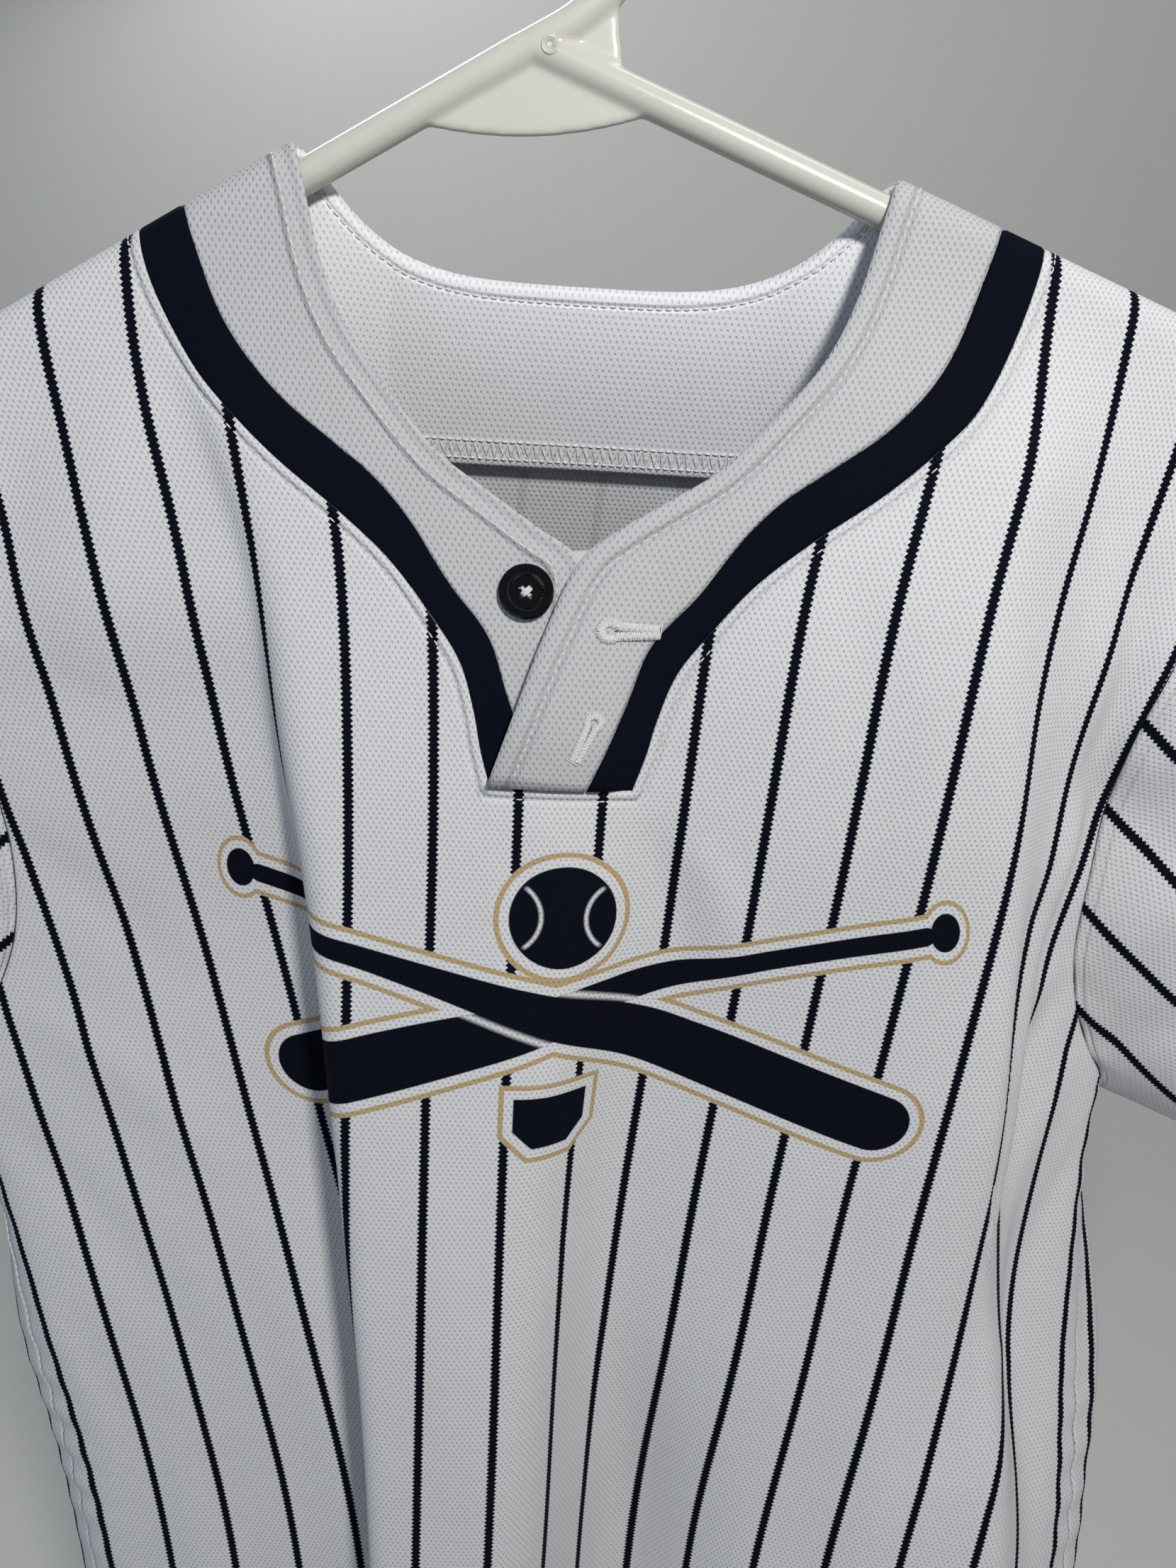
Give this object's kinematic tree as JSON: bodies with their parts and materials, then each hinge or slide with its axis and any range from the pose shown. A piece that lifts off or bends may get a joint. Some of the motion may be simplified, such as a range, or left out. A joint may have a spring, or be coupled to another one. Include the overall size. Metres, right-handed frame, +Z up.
{
  "type": "baseball jersey on a hanger",
  "caption": "Short-sleeved pinstripe baseball jersey with a buttoned V neck, hanging empty on a tubular plastic hanger.",
  "frame": {"origin": "inner top of the hanger's hook, where the rod that holds it bears", "axes": "+Z up, -Y out of the jersey's front, +X towards the wearer's left sleeve"},
  "size_m": [0.7767, 0.1249, 0.8066],
  "materials": {
    "pinstripe_knit": "matt white knit with dark pinstripes",
    "band_mesh": "matt white mesh knit",
    "dark_insert": "smooth near-black knit",
    "button_gloss": "glossy black",
    "hanger_plastic": "glossy warm white"
  },
  "bodies": {
    "root": {"front_panel": "pinstripe_knit", "back_panel": "pinstripe_knit", "sleeve_left": "pinstripe_knit", "sleeve_right": "pinstripe_knit", "neck_band_left": "band_mesh", "neck_band_right": "band_mesh", "neck_band_back": "band_mesh", "neck_insert_left": "dark_insert", "neck_insert_right": "dark_insert", "neck_insert_back": "dark_insert", "back_facing": "band_mesh", "button_top": "button_gloss", "button_lower": "button_gloss", "hanger": "hanger_plastic"}
  },
  "joints": []
}
